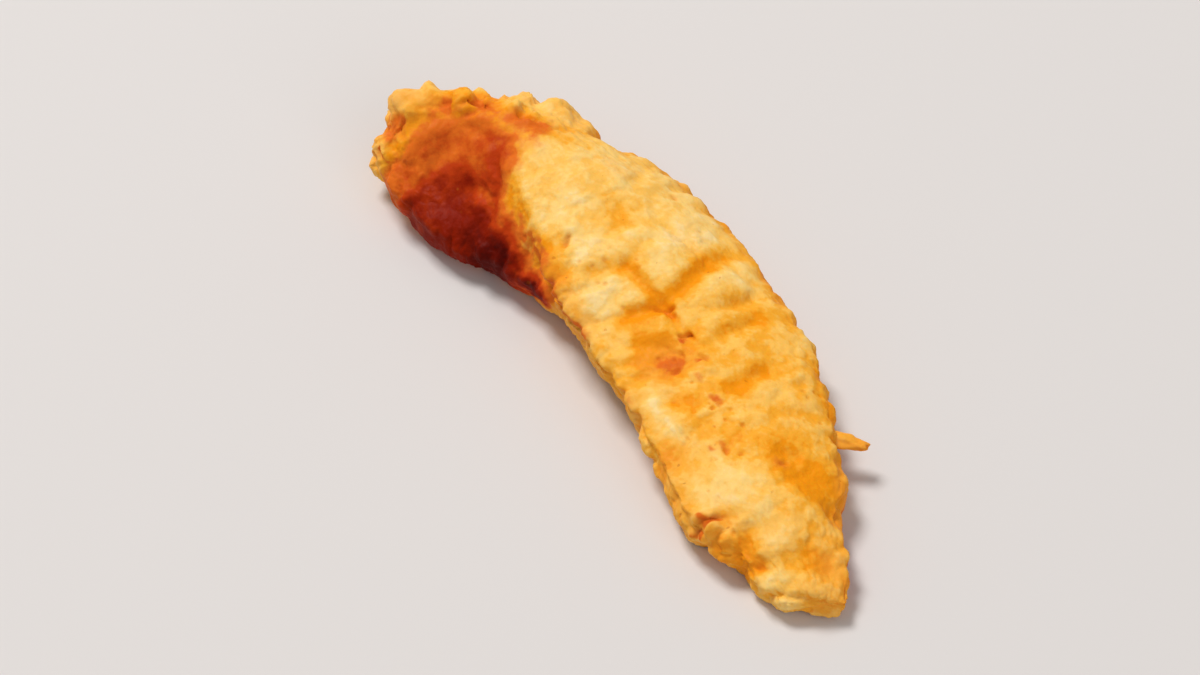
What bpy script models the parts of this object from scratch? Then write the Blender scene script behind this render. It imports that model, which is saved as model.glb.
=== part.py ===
"""One battered, deep-fried chicken tender, lying with its broad side up.

It is a flat strip of meat in a puffed crust, one solid from crust to core. The strip runs in a
crescent along +X. At its thick blunt end it stands a little on edge, so that a sloping side wall
faces the crescent's hollow side and a craggy crest runs along the top. By mid length it has turned
over to lie with its broad face up, and it thins to a narrow ragged tip.

The body is lofted from cross-sections in a straight space (along, across, up). The crust's relief
is raised on it there, and the result is bent along the crescent. The underside is pressed flat
where it touches the table, at z = 0. A flake of batter that stands off the outer rim is joined on.
"""

import itertools
import math

import bmesh
import bpy
import numpy as np
from mathutils import Matrix, Vector

NAME = "tender"
SEED = 41

# The crescent's centreline seen from above is a cubic curve through these corners
CHORD = 0.1278
SPINE = ((0.0, 0.0), (0.006, 0.0330), (0.062, 0.0340), (CHORD, 0.0))

# Cross-sections, with "inner" for the crescent's hollow side. Each row is the share of the length,
# the reach of the inner and the outer rim, (across, up) of the ridge over the inner wall and of the
# crown, the height of the outer edge, and the gap between belly and table
SECTIONS = (
    (0.00, 0.0140, 0.0142, 0.0004, 0.0172, 0.0054, 0.0194, 0.0138, 0.0012),
    (0.10, 0.0185, 0.0156, 0.0024, 0.0204, 0.0084, 0.0213, 0.0142, -0.0008),
    (0.17, 0.0192, 0.0152, -0.0030, 0.0214, 0.0062, 0.0221, 0.0146, -0.0012),
    (0.24, 0.0195, 0.0158, -0.0094, 0.0210, 0.0020, 0.0230, 0.0150, -0.0010),
    (0.33, 0.0190, 0.0174, -0.0140, 0.0186, 0.0000, 0.0220, 0.0142, -0.0002),
    (0.42, 0.0180, 0.0190, -0.0168, 0.0155, 0.0000, 0.0203, 0.0134, 0.0006),
    (0.54, 0.0184, 0.0189, -0.0174, 0.0133, 0.0012, 0.0182, 0.0126, 0.0008),
    (0.70, 0.0172, 0.0182, -0.0158, 0.0115, 0.0016, 0.0156, 0.0112, -0.0006),
    (0.84, 0.0168, 0.0141, -0.0143, 0.0098, 0.0016, 0.0130, 0.0096, -0.0010),
    (0.88, 0.0126, 0.0124, -0.0102, 0.0089, 0.0022, 0.0117, 0.0086, -0.0010),
    (0.94, 0.0082, 0.0100, -0.0060, 0.0071, 0.0016, 0.0090, 0.0066, -0.0006),
    (1.00, 0.0046, 0.0086, -0.0030, 0.0050, 0.0016, 0.0062, 0.0047, 0.0004),
)
BLUNT_ROUND = 0.0092
TIP_ROUND = 0.0030
TIP_SQUARENESS = 3.5
TIP_SLANT = 0.34
SLANT_ENDS = (0.88, 1.0)
FOOT_SHARE = 0.74
RIM_LEVEL = 0.50
OUTER_EDGE_SHARE = 0.93
WALL_OUTWARD = (-0.7, 0.7)
WALL_BULGE = 0.0012
WALL_HOLLOW = 0.0018
TALL_WALL = (0.004, 0.012)

# The crust's relief: size, height, steepness and mean level of the pillowy puffs, of the blisters
# in patches on them, and of the crags on the crest and the ragged flank; and the shares of the
# blisters and of the puffs' height that are left on the broad face
PUFFS = (0.0094, 0.0012, 0.56, 0.62)
BLISTERS = (0.0043, 0.0007, 0.50, 0.55)
CRAGS = (0.0070, 0.0018, 0.55, 0.58)
JITTER = 0.95
ROW_STRETCH = (0.78, 1.08, 1.0)
ROWS_FROM = (0.22, 0.36)
BLISTER_PATCH = 0.016
PATCH_EDGE = (-0.1, 0.5)
THIN_BLISTERS = 0.2
FACE_BLISTERS = 0.15
FACE_PUFFS = 0.50

# Size and height of the lumps and of the broad swells below them, and of the drift that makes
# the creases wander, with the share of it that the single marks take
LUMPS = (0.0120, 0.0006)
SWELLS = (0.0260, 0.0010)
DRIFT = (0.0110, 0.0028)
MARK_DRIFT = 0.28

# Where the relief changes: by share of the length, by place across, or by how far the surface
# faces up
CREST_ENDS = (0.30, 0.16)
CREST_EDGE = (0.0, 0.35)
FLANK_ENDS = (0.80, 0.90)
FLANK_EDGE = (-0.35, -0.75)
FLANK_CRAGS = 0.55
RIM_EDGE = (0.72, 1.0)
UPPER_EDGE = (-0.35, 0.15)
FACE_EDGE = (0.5, 0.9)
BELLY_CALM = 0.55

# Scallops on the two rims: pitch and height, the distance over which both drift, and how much
# the height does
OUTER_SCALLOP = (0.0060, 0.0007)
INNER_SCALLOP = (0.0082, 0.0006)
SCALLOP_DRIFT = 0.011
SCALLOP_UNEVEN = 0.8
SCALLOP_LEVEL = 0.60

# Single creases, dents and lumps of the upper side: share of the length, place across as a share
# of the reach, half length, half width, turn from the strip's direction in degrees, and height
MARKS = (
    (0.514, 0.25, 0.0104, 0.0016, 109, -0.0011),
    (0.532, -0.45, 0.0046, 0.0015, 79, -0.0012),
    (0.500, -0.31, 0.0062, 0.0012, 14, -0.0009),
    (0.575, -0.22, 0.0058, 0.0010, 2, -0.0008),
    (0.450, -0.54, 0.0042, 0.0014, 63, -0.0008),
    (0.465, 0.35, 0.0070, 0.0010, 12, -0.0005),
    (0.390, 0.05, 0.0050, 0.0030, 60, -0.0005),
    (0.588, -0.57, 0.0034, 0.0018, 60, -0.0007),
    (0.624, -0.46, 0.0044, 0.0036, 20, -0.0013),
    (0.572, 0.56, 0.0050, 0.0014, 100, -0.0008),
    (0.608, 0.36, 0.0066, 0.0016, 100, -0.0008),
    (0.685, 0.20, 0.0062, 0.0019, 103, -0.0010),
    (0.700, -0.51, 0.0034, 0.0020, 60, -0.0006),
    (0.708, -0.15, 0.0012, 0.0011, 0, -0.0003),
    (0.783, -0.31, 0.0013, 0.0011, 0, -0.0003),
    (0.811, 0.35, 0.0024, 0.0017, 60, -0.0010),
    (0.855, 0.57, 0.0050, 0.0032, 30, -0.0010),
    (0.893, 0.97, 0.0034, 0.0018, 80, -0.0015),
    (0.915, -0.79, 0.0050, 0.0024, 20, -0.0009),
    (0.950, 0.35, 0.0044, 0.0034, 60, -0.0008),
    (0.157, -0.08, 0.0095, 0.0030, -12, -0.0010),
    (0.264, 0.95, 0.0040, 0.0030, 95, -0.0024),
    (0.672, 1.00, 0.0040, 0.0022, 90, -0.0009),
    (0.446, -0.80, 0.0080, 0.0012, -15, 0.0007),
    (0.580, -0.97, 0.0130, 0.0013, 0, 0.0007),
    (0.700, -0.84, 0.0060, 0.0026, 8, 0.0006),
    (0.823, -0.42, 0.0050, 0.0032, 20, 0.0005),
    (0.884, -0.96, 0.0040, 0.0036, 0, 0.0022),
    (0.922, -1.05, 0.0026, 0.0030, 0, 0.0012),
    (0.055, 0.54, 0.0036, 0.0034, 0, 0.0025),
    (0.192, 0.80, 0.0032, 0.0032, 0, 0.0013),
    (0.216, 0.86, 0.0044, 0.0036, 0, 0.0017),
)

# The flake that stands off the outer rim: share of the length, height as a share of the rim's,
# thickness, width and length, how far it leans along the strip, and the share of it that is sunk
FLAKE_PLACE = 0.775
FLAKE_LEVEL = 0.95
FLAKE_SIZE = (0.0026, 0.0038, 0.0104)
FLAKE_LEAN = 0.05
FLAKE_SUNK = 0.42
FLAKE_TAPER = 0.40
FLAKE_ROUGHNESS = 0.26
FLAKE_ROUGH_PITCH = 0.36
FLAKE_SPLITS = 2

RINGS = 190
RING_POINTS = 132
BODY_TRIANGLES = 10600
FINE_STEPS = 4000
CURVE_STEPS = 48


def scatter(cell, seed):
    """Three repeatable random numbers from 0 to 1 for each whole-numbered cell."""
    n = cell[..., 0] * 73856093 ^ cell[..., 1] * 19349663 ^ cell[..., 2] * 83492791
    n = (n ^ seed * 2654435761) & 0xFFFFFFFF
    values = []
    for _ in range(3):
        n = (n ^ (n >> 15)) * 2246822519 & 0xFFFFFFFF
        n = (n ^ (n >> 13)) * 3266489917 & 0xFFFFFFFF
        n = n ^ (n >> 16)
        values.append((n & 0xFFFFFF) / 0xFFFFFF)
    return np.stack(values, axis=-1)


def ripple(points, seed):
    """Smooth random waves about one unit long, from -1 to 1, as three independent values."""
    base = np.floor(points).astype(np.int64)
    share = points - base
    share = share**3 * (share * (6 * share - 15) + 10)
    total = 0.0
    for corner in itertools.product((0, 1), repeat=3):
        near = np.where(np.array(corner) == 1, share, 1 - share)
        total = total + near.prod(axis=-1, keepdims=True) * scatter(base + corner, seed)
    return 2 * total - 1


def crease_gap(points, jitter, seed):
    """How much nearer the nearest seed of a jittered grid is than the second: 0 in a crease."""
    base = np.floor(points).astype(np.int64)
    first = np.full(len(points), 9.0)
    second = first.copy()
    for step in itertools.product((-1, 0, 1), repeat=3):
        cell = base + step
        seeds = cell + 0.5 + jitter * (scatter(cell, seed) - 0.5)
        far = np.linalg.norm(points - seeds, axis=-1)
        second = np.minimum(second, np.maximum(first, far))
        first = np.minimum(first, far)
    return second - first


def smooth(low, high, x):
    t = np.clip((x - low) / (high - low), 0, 1)
    return t * t * (3 - 2 * t)


def spine(share):
    """Points on the centreline and its unit directions, seen from above."""
    t = share[:, None]
    p = [np.array(corner) for corner in SPINE]
    at = (1 - t) ** 3 * p[0] + 3 * (1 - t) ** 2 * t * p[1] + 3 * (1 - t) * t**2 * p[2] + t**3 * p[3]
    way = (1 - t) ** 2 * (p[1] - p[0]) + 2 * (1 - t) * t * (p[2] - p[1]) + t**2 * (p[3] - p[2])
    return at, way / np.linalg.norm(way, axis=1, keepdims=True)


def spine_table():
    """Length along the centreline for evenly spaced shares of the curve."""
    share = np.linspace(0, 1, FINE_STEPS)
    at, _ = spine(share)
    steps = np.linalg.norm(np.diff(at, axis=0), axis=1)
    return share, np.concatenate([[0.0], np.cumsum(steps)])


def section_sizes(along, length):
    """The cross-section's sizes at each distance along, on a smooth curve through the rows."""
    table = np.array(SECTIONS)
    share = np.clip(along / length, 0, 1)
    at = np.clip(np.searchsorted(table[:, 0], share, side="right") - 1, 0, len(table) - 2)
    before = table[np.maximum(at - 1, 0)]
    low, high = table[at], table[at + 1]
    after = table[np.minimum(at + 2, len(table) - 1)]
    span = high[:, :1] - low[:, :1]
    t = (share[:, None] - low[:, :1]) / span
    rise_low = (high - before) / (high[:, :1] - before[:, :1]) * span
    rise_high = (after - low) / (after[:, :1] - low[:, :1]) * span
    value = (
        (2 * t**3 - 3 * t**2 + 1) * low
        + (t**3 - 2 * t**2 + t) * rise_low
        + (3 * t**2 - 2 * t**3) * high
        + (t**3 - t**2) * rise_high
    )
    return value[:, 1:]


def end_share(along, length):
    """1 along the body, falling to 0 at both ends: round at the blunt one, squarish at the tip."""
    blunt = np.clip(1 - along / BLUNT_ROUND, 0, 1)
    tip = np.clip(1 - (length - along) / TIP_ROUND, 0, 1)
    return np.sqrt(1 - blunt**2) * (1 - tip**TIP_SQUARENESS) ** (1 / TIP_SQUARENESS)


def ring_places(length, count):
    """Distances along for the rings, closer together where the ends round off."""
    along = np.linspace(0, length, FINE_STEPS)
    reach = section_sizes(along, length)[:, 1] * end_share(along, length)
    walked = np.concatenate([[0.0], np.cumsum(np.hypot(np.diff(along), np.diff(reach)))])
    return np.interp(np.linspace(0, walked[-1], count), walked, along)


def section_corners(sizes):
    """(across, up) of the named places round a section, from the inner rim over the crown."""
    inner, outer, ridge_at, ridge_up, crown_at, crown_up, outer_up, gap = sizes
    inner_rim = np.array([-inner, gap + RIM_LEVEL * (min(ridge_up, outer_up) - gap)])
    ridge = np.array([ridge_at, ridge_up])
    bulge = WALL_BULGE - WALL_HOLLOW * smooth(*TALL_WALL, ridge_up - inner_rim[1])
    wall = (inner_rim + ridge) / 2 + bulge * np.array(WALL_OUTWARD)
    outer_edge = (OUTER_EDGE_SHARE * outer, outer_up)
    outer_rim = (outer, gap + RIM_LEVEL * (outer_up - gap))
    feet = (FOOT_SHARE * outer, gap), (0.0, gap), (-FOOT_SHARE * inner, gap)
    return np.array([inner_rim, wall, ridge, (crown_at, crown_up), outer_edge, outer_rim, *feet])


def closed_curve(corners):
    """A smooth closed curve through the corners."""
    t = (np.arange(CURVE_STEPS) / CURVE_STEPS)[:, None]
    runs = []
    for k in range(len(corners)):
        a, b, c, d = (corners[(k + step) % len(corners)] for step in (-1, 0, 1, 2))
        runs.append(b + 0.5 * t * (c - a + t * (2 * a - 5 * b + 4 * c - d + t * (3 * b - a - 3 * c + d))))
    return np.concatenate(runs)


def cross_section(sizes, shrink, count):
    """Evenly spaced points (across, up) round one cross-section, from the inner rim on."""
    outline = closed_curve(section_corners(sizes))
    middle = outline.mean(axis=0)
    outline = middle + shrink * (outline - middle)
    outline = np.concatenate([outline, outline[:1]])
    walked = np.concatenate([[0.0], np.cumsum(np.linalg.norm(np.diff(outline, axis=0), axis=1))])
    at = np.arange(count) / count * walked[-1]
    return np.stack([np.interp(at, walked, outline[:, k]) for k in (0, 1)], axis=-1)


def straight_body(rings, ring_points, length):
    """The bare body as a grid of points (along, across, up), one row to each ring."""
    places = ring_places(length, rings)
    sizes = section_sizes(places, length)
    shrink = end_share(places, length)
    slant = TIP_SLANT * smooth(*SLANT_ENDS, places / length)
    grid = np.empty((rings, ring_points, 3))
    for row, place in enumerate(places):
        grid[row, :, 1:] = cross_section(sizes[row], shrink[row], ring_points)
        grid[row, :, 0] = place + slant[row] * grid[row, :, 1]
    return grid


def grid_normals(grid):
    """Outward unit normals of the closed grid of rings."""
    down = np.gradient(grid, axis=0)
    round_ = np.roll(grid, -1, axis=1) - np.roll(grid, 1, axis=1)
    normal = np.cross(down, round_)
    normal /= np.maximum(np.linalg.norm(normal, axis=-1, keepdims=True), 1e-12)
    normal[0], normal[-1] = (-1, 0, 0), (1, 0, 0)
    return normal


def across_share(points, length):
    """Place across the strip: -1 at the inner rim, 1 at the outer rim."""
    reach = section_sizes(points[:, 0], length)
    return points[:, 1] / np.where(points[:, 1] < 0, reach[:, 0], reach[:, 1])


def scallops(points, length):
    """Rounded lumps with sharp notches between them along both rims."""
    place = across_share(points, length)
    drift = ripple(points / SCALLOP_DRIFT, SEED + 7)
    height = 0.0
    for side, (pitch, tall) in ((1, OUTER_SCALLOP), (-1, INNER_SCALLOP)):
        wave = np.abs(np.sin(math.pi * (points[:, 0] / pitch + drift[:, side])))
        tall = tall * (1 + SCALLOP_UNEVEN * drift[:, 2])
        height = height + tall * (wave - SCALLOP_LEVEL) * smooth(*RIM_EDGE, side * place)
    return height


def marks(points, length):
    """The single creases, dents and lumps."""
    place = across_share(points, length)
    height = 0.0
    for share, across, half_length, half_width, turn, tall in MARKS:
        reach = section_sizes(np.array([share * length]), length)[0, 0 if across < 0 else 1]
        along = points[:, 0] - share * length
        aside = (place - across) * reach
        c, s = math.cos(math.radians(turn)), math.sin(math.radians(turn))
        u = (c * along + s * aside) / half_length
        v = (c * aside - s * along) / half_width
        height = height + tall * np.exp(-(u**4) - v**2)
    return height


def cells(points, sizes, seed):
    """Flat-topped puffs with rounded creases between them, as heights about their mean level."""
    size, height, steepness, level = sizes
    return height * (smooth(0, steepness, crease_gap(points / size, JITTER, seed)) - level)


def waves(points, sizes, seed):
    size, height = sizes
    return height * ripple(points / size, seed)


def crust_relief(points, normals, length):
    """How far the crust stands out from the bare body at each point of the straight space."""
    bent = bend(points)
    drift = waves(bent, DRIFT, SEED)
    share = points[:, 0] / length
    place = across_share(points, length)
    rows = smooth(*ROWS_FROM, share)
    in_rows = cells((points + drift) / ROW_STRETCH, PUFFS, SEED + 1)
    at_random = cells(bent + drift, PUFFS, SEED + 1)
    patches = smooth(*PATCH_EDGE, ripple(bent / BLISTER_PATCH, SEED + 4)[:, 0])
    crest = smooth(*CREST_ENDS, share) * smooth(*CREST_EDGE, place)
    flank = smooth(*FLANK_ENDS, share) * smooth(*FLANK_EDGE, place)
    ragged = np.maximum(crest, FLANK_CRAGS * flank)
    upper = smooth(*UPPER_EDGE, normals[:, 2])
    face = smooth(*FACE_EDGE, normals[:, 2]) * (1 - ragged)
    blistered = (THIN_BLISTERS + (1 - THIN_BLISTERS) * patches) * (1 - (1 - FACE_BLISTERS) * face)
    relief = (
        waves(bent, SWELLS, SEED + 3)[:, 0]
        + waves(bent, LUMPS, SEED + 6)[:, 0]
        + (1 - (1 - FACE_PUFFS) * face) * (rows * in_rows + (1 - rows) * at_random)
        + blistered * cells(bent + drift, BLISTERS, SEED + 2)
        + ragged * cells(bent + drift, CRAGS, SEED + 5)
        + scallops(points, length)
    )
    marked = upper * marks(points + MARK_DRIFT * drift, length)
    return relief * (BELLY_CALM + (1 - BELLY_CALM) * upper) + marked


def bend(points):
    """Carries points from the straight space onto the crescent, and straight on past its end."""
    share, walked = spine_table()
    at, way = spine(np.interp(points[:, 0], walked, share))
    at = at + way * np.maximum(points[:, :1] - walked[-1], 0)
    outer = np.stack([-way[:, 1], way[:, 0]], axis=-1)
    return np.column_stack([at + outer * points[:, 1:2], points[:, 2]])


def crusted_grid(rings, ring_points):
    """The body with its relief, as a grid in the straight space."""
    length = spine_table()[1][-1]
    grid = straight_body(rings, ring_points, length)
    normals = grid_normals(grid)
    relief = crust_relief(grid.reshape(-1, 3), normals.reshape(-1, 3), length)
    grid = grid + normals * relief.reshape(rings, ring_points, 1)
    grid[0] = grid[0].mean(axis=0)
    grid[-1] = grid[-1].mean(axis=0)
    return grid


def loft_faces(rings, ring_points):
    """Triangles at both ends and quads between them; each end ring is one point."""
    last = 1 + (rings - 2) * ring_points
    faces = []
    for k in range(ring_points):
        after = (k + 1) % ring_points
        faces.append((0, 1 + k, 1 + after))
        for start in range(1, last - ring_points, ring_points):
            faces.append((start + k, start + ring_points + k, start + ring_points + after, start + after))
        faces.append((last, last - ring_points + after, last - ring_points + k))
    return faces


def mesh_object(name, points, faces):
    mesh = bpy.data.meshes.new(name)
    mesh.from_pydata([tuple(point) for point in points], [], faces)
    obj = bpy.data.objects.new(name, mesh)
    bpy.context.scene.collection.objects.link(obj)
    return obj


def settle(obj):
    """Replaces the object's mesh by what its modifiers make of it."""
    graph = bpy.context.evaluated_depsgraph_get()
    made = bpy.data.meshes.new_from_object(obj.evaluated_get(graph))
    obj.modifiers.clear()
    obj.data = made


def combine(obj, operation, other):
    """Adds or cuts away the other object, and removes it."""
    modifier = obj.modifiers.new(operation.lower(), "BOOLEAN")
    modifier.operation = operation
    modifier.object = other
    modifier.solver = "EXACT"
    settle(obj)
    bpy.data.objects.remove(other)


def table_block():
    """A block whose top face is the table."""
    block = bmesh.new()
    bmesh.ops.create_cube(block, size=2 * CHORD)
    bmesh.ops.translate(block, verts=block.verts, vec=(CHORD / 2, 0, -CHORD))
    mesh = bpy.data.meshes.new("table")
    block.to_mesh(mesh)
    block.free()
    table = bpy.data.objects.new("table", mesh)
    bpy.context.scene.collection.objects.link(table)
    return table


def faces_beside(face):
    """The faces across this face's edges, where an edge joins just two."""
    return {other for edge in face.edges if len(edge.link_faces) == 2 for other in edge.link_faces}


def drop_scraps(mesh):
    """Keeps the largest connected skin, without specks that hang on it by an edge or a corner."""
    body = bmesh.new()
    body.from_mesh(mesh)
    left = set(body.faces)
    skins = []
    while left:
        front = {left.pop()}
        skin = set(front)
        while front:
            front = set().union(*(faces_beside(face) for face in front)) - skin
            skin |= front
        left -= skin
        skins.append(skin)
    skins.sort(key=len)
    for skin in skins[:-1]:
        bmesh.ops.delete(body, geom=list(skin), context="FACES")
    body.to_mesh(mesh)
    body.free()


def flake(grid):
    """Points and faces of a rough shard of batter with its foot sunk in the crust."""
    row = int(np.argmin(np.abs(grid[:, 0, 0] - FLAKE_PLACE * grid[-1, 0, 0])))
    ring = grid[row]
    rim = ring[np.argmax(ring[:, 1])]
    k = int(np.argmin(np.abs(ring[:, 1] - rim[1]) + np.abs(ring[:, 2] - FLAKE_LEVEL * rim[2])))
    ball = bmesh.new()
    bmesh.ops.create_icosphere(ball, subdivisions=FLAKE_SPLITS, radius=0.5)
    corners = np.array([vert.co for vert in ball.verts])
    faces = [tuple(vert.index for vert in face.verts) for face in ball.faces]
    ball.free()
    rough = ripple(corners / FLAKE_ROUGH_PITCH, SEED + 11)[:, :1]
    taper = 1 - FLAKE_TAPER * np.clip(0.5 + corners[:, 2:], 0, 1) * (1, 1, 0)
    corners = corners * taper * (1 + FLAKE_ROUGHNESS * rough) * FLAKE_SIZE
    out = Vector(grid_normals(grid)[row, k])
    reach = (out + FLAKE_LEAN * Vector((1, 0, 0))).normalized()
    flat = Vector((0, 0, 1)).cross(reach).normalized()
    turn = Matrix((flat.cross(reach), flat, reach)).transposed()
    foot = Vector(ring[k]) + reach * FLAKE_SIZE[2] * (0.5 - FLAKE_SUNK)
    return np.array([turn @ Vector(corner) + foot for corner in corners]), faces


def crust_material():
    material = bpy.data.materials.new("fried_batter")
    material.use_nodes = True
    shader = material.node_tree.nodes["Principled BSDF"]
    shader.inputs["Base Color"].default_value = (0.84, 0.42, 0.09, 1)
    shader.inputs["Roughness"].default_value = 0.5
    shader.inputs["Metallic"].default_value = 0.0
    return material


def centre(mesh):
    """Moves the body so that its box is centred over the origin."""
    points = np.array([vert.co for vert in mesh.vertices])
    points[:, :2] -= (points.min(axis=0) + points.max(axis=0))[:2] / 2
    mesh.vertices.foreach_set("co", points.ravel())
    mesh.update()


def build_tender():
    grid = crusted_grid(RINGS, RING_POINTS)
    points = bend(grid.reshape(-1, 3))
    kept = np.concatenate([points[:1], points[RING_POINTS:-RING_POINTS], points[-1:]])
    tender = mesh_object(NAME, kept, loft_faces(RINGS, RING_POINTS))
    thin = tender.modifiers.new("fewer_faces", "DECIMATE")
    thin.ratio = BODY_TRIANGLES / (2 * RING_POINTS * (RINGS - 2))
    settle(tender)
    corners, faces = flake(grid)
    combine(tender, "UNION", mesh_object("flake", bend(corners), faces))
    combine(tender, "DIFFERENCE", table_block())
    drop_scraps(tender.data)
    centre(tender.data)
    tender.data.materials.clear()
    tender.data.materials.append(crust_material())
    tender.data.shade_smooth()


for leftover in list(bpy.data.objects):
    bpy.data.objects.remove(leftover)
build_tender()
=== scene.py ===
"""Looks of one battered, deep-fried chicken tender.

The crust repeats the solid's own form at a finer resolution, and adds what is too small for the
solid: bubbles, nodules, beads, crinkles, grain, pores and cracks. The same forms say how deep each
point lies and how brown it is fried, and the material paints by that: darker in hollows and paler
on tops, partly as painted shade and painted light, with painted shadow on the inner wall's dark
lower part. Lengths are in metres.
"""

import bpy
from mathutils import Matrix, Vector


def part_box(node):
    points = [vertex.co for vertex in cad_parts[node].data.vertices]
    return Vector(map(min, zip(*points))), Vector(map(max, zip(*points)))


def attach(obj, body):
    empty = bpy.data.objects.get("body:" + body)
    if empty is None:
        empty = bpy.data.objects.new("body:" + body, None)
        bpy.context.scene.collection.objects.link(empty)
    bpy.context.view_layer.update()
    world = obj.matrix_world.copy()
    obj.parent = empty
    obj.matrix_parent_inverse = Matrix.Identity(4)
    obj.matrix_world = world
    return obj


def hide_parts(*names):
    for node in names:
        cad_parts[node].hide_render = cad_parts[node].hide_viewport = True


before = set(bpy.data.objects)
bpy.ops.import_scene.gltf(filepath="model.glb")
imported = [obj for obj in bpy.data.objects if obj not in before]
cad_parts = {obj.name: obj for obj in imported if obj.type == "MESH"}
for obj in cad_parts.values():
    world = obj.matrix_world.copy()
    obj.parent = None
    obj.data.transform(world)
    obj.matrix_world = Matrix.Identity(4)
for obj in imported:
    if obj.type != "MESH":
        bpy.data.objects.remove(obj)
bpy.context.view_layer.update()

import itertools
import math

import bmesh
import bpy
import numpy as np
from mathutils import Matrix, Vector
from mathutils.kdtree import KDTree

NODE = "tender"
SEED = 41

# The crescent's centreline seen from above is a cubic Bezier curve with these corners
CHORD = 0.1278
SPINE = ((0.0, 0.0), (0.006, 0.0330), (0.062, 0.0340), (CHORD, 0.0))

# Cross-sections, with "inner" for the crescent's hollow side. Each row is the share of the length,
# the reach of the inner and the outer rim, (across, up) of the ridge over the inner wall and of the
# crown, the height of the outer edge, and the gap between belly and table
SECTIONS = (
    (0.00, 0.0140, 0.0142, 0.0004, 0.0172, 0.0054, 0.0194, 0.0138, 0.0012),
    (0.10, 0.0185, 0.0156, 0.0024, 0.0204, 0.0084, 0.0213, 0.0142, -0.0008),
    (0.17, 0.0192, 0.0152, -0.0030, 0.0214, 0.0062, 0.0221, 0.0146, -0.0012),
    (0.24, 0.0195, 0.0158, -0.0094, 0.0210, 0.0020, 0.0230, 0.0150, -0.0010),
    (0.33, 0.0190, 0.0174, -0.0140, 0.0186, 0.0000, 0.0220, 0.0142, -0.0002),
    (0.42, 0.0180, 0.0190, -0.0168, 0.0155, 0.0000, 0.0203, 0.0134, 0.0006),
    (0.54, 0.0184, 0.0189, -0.0174, 0.0133, 0.0012, 0.0182, 0.0126, 0.0008),
    (0.70, 0.0172, 0.0182, -0.0158, 0.0115, 0.0016, 0.0156, 0.0112, -0.0006),
    (0.84, 0.0168, 0.0141, -0.0143, 0.0098, 0.0016, 0.0130, 0.0096, -0.0010),
    (0.88, 0.0126, 0.0124, -0.0102, 0.0089, 0.0022, 0.0117, 0.0086, -0.0010),
    (0.94, 0.0082, 0.0100, -0.0060, 0.0071, 0.0016, 0.0090, 0.0066, -0.0006),
    (1.00, 0.0046, 0.0086, -0.0030, 0.0050, 0.0016, 0.0062, 0.0047, 0.0004),
)

# Which of a section's sizes, counted from 0 after the share, is the ridge's place across
RIDGE_COLUMN = 2

# The distances over which the ends round off, how square the tip is, and how far its rings slant,
# from which share of the length to which
BLUNT_ROUND = 0.0092
TIP_ROUND = 0.0030
TIP_SQUARENESS = 3.5
TIP_SLANT = 0.34
SLANT_ENDS = (0.88, 1.0)

# Where the feet and the outer edge lie as shares of the reach, and the rims as a share of the
# height
FOOT_SHARE = 0.74
RIM_LEVEL = 0.50
OUTER_EDGE_SHARE = 0.93

# The inner wall's middle: which way is out (across, up), how far it bulges where the wall is low,
# how much is taken off that where it is tall, and the heights between which it turns tall
WALL_OUTWARD = (-0.7, 0.7)
WALL_BULGE = 0.0012
WALL_HOLLOW = 0.0018
TALL_WALL = (0.004, 0.012)

# The crust's relief: size, height, width of the shoulder and mean level of the pillowy puffs, of
# the blisters in patches on them, and of the crags on the crest and the ragged flank
PUFFS = (0.0094, 0.0012, 0.56, 0.62)
BLISTERS = (0.0043, 0.0007, 0.50, 0.55)
CRAGS = (0.0070, 0.0018, 0.55, 0.58)

# How far each puff's seed strays in its cell, how the puffs are stretched where they lie in rows
# across the strip, and between which shares of the length the rows set in
JITTER = 0.95
ROW_STRETCH = (0.78, 1.08, 1.0)
ROWS_FROM = (0.22, 0.36)

# The blisters' patches: size, soft edge, and the share of the blisters left between them; then the
# shares of the blisters and of the puffs' height that are left on the broad face
BLISTER_PATCH = 0.016
PATCH_EDGE = (-0.1, 0.5)
THIN_BLISTERS = 0.2
FACE_BLISTERS = 0.15
FACE_PUFFS = 0.50

# Size and height of the lumps and of the broad swells below them, and of the drift that makes
# the creases wander, with the share of it that the single marks take
LUMPS = (0.0120, 0.0006)
SWELLS = (0.0260, 0.0010)
DRIFT = (0.0110, 0.0028)
MARK_DRIFT = 0.28

# Where the relief changes, by share of the length, by place across, or by how far the surface
# faces up, and how much of the crags the flank has and of the relief the belly keeps
CREST_ENDS = (0.30, 0.16)
CREST_EDGE = (0.0, 0.35)
FLANK_ENDS = (0.80, 0.90)
FLANK_EDGE = (-0.35, -0.75)
FLANK_CRAGS = 0.55
RIM_EDGE = (0.72, 1.0)
UPPER_EDGE = (-0.35, 0.15)
FACE_EDGE = (0.5, 0.9)
BELLY_CALM = 0.55

# Scallops on the two rims: pitch and height, the distance over which both drift, how much the
# height does, and the mean level
OUTER_SCALLOP = (0.0060, 0.0007)
INNER_SCALLOP = (0.0082, 0.0006)
SCALLOP_DRIFT = 0.011
SCALLOP_UNEVEN = 0.8
SCALLOP_LEVEL = 0.60

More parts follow.
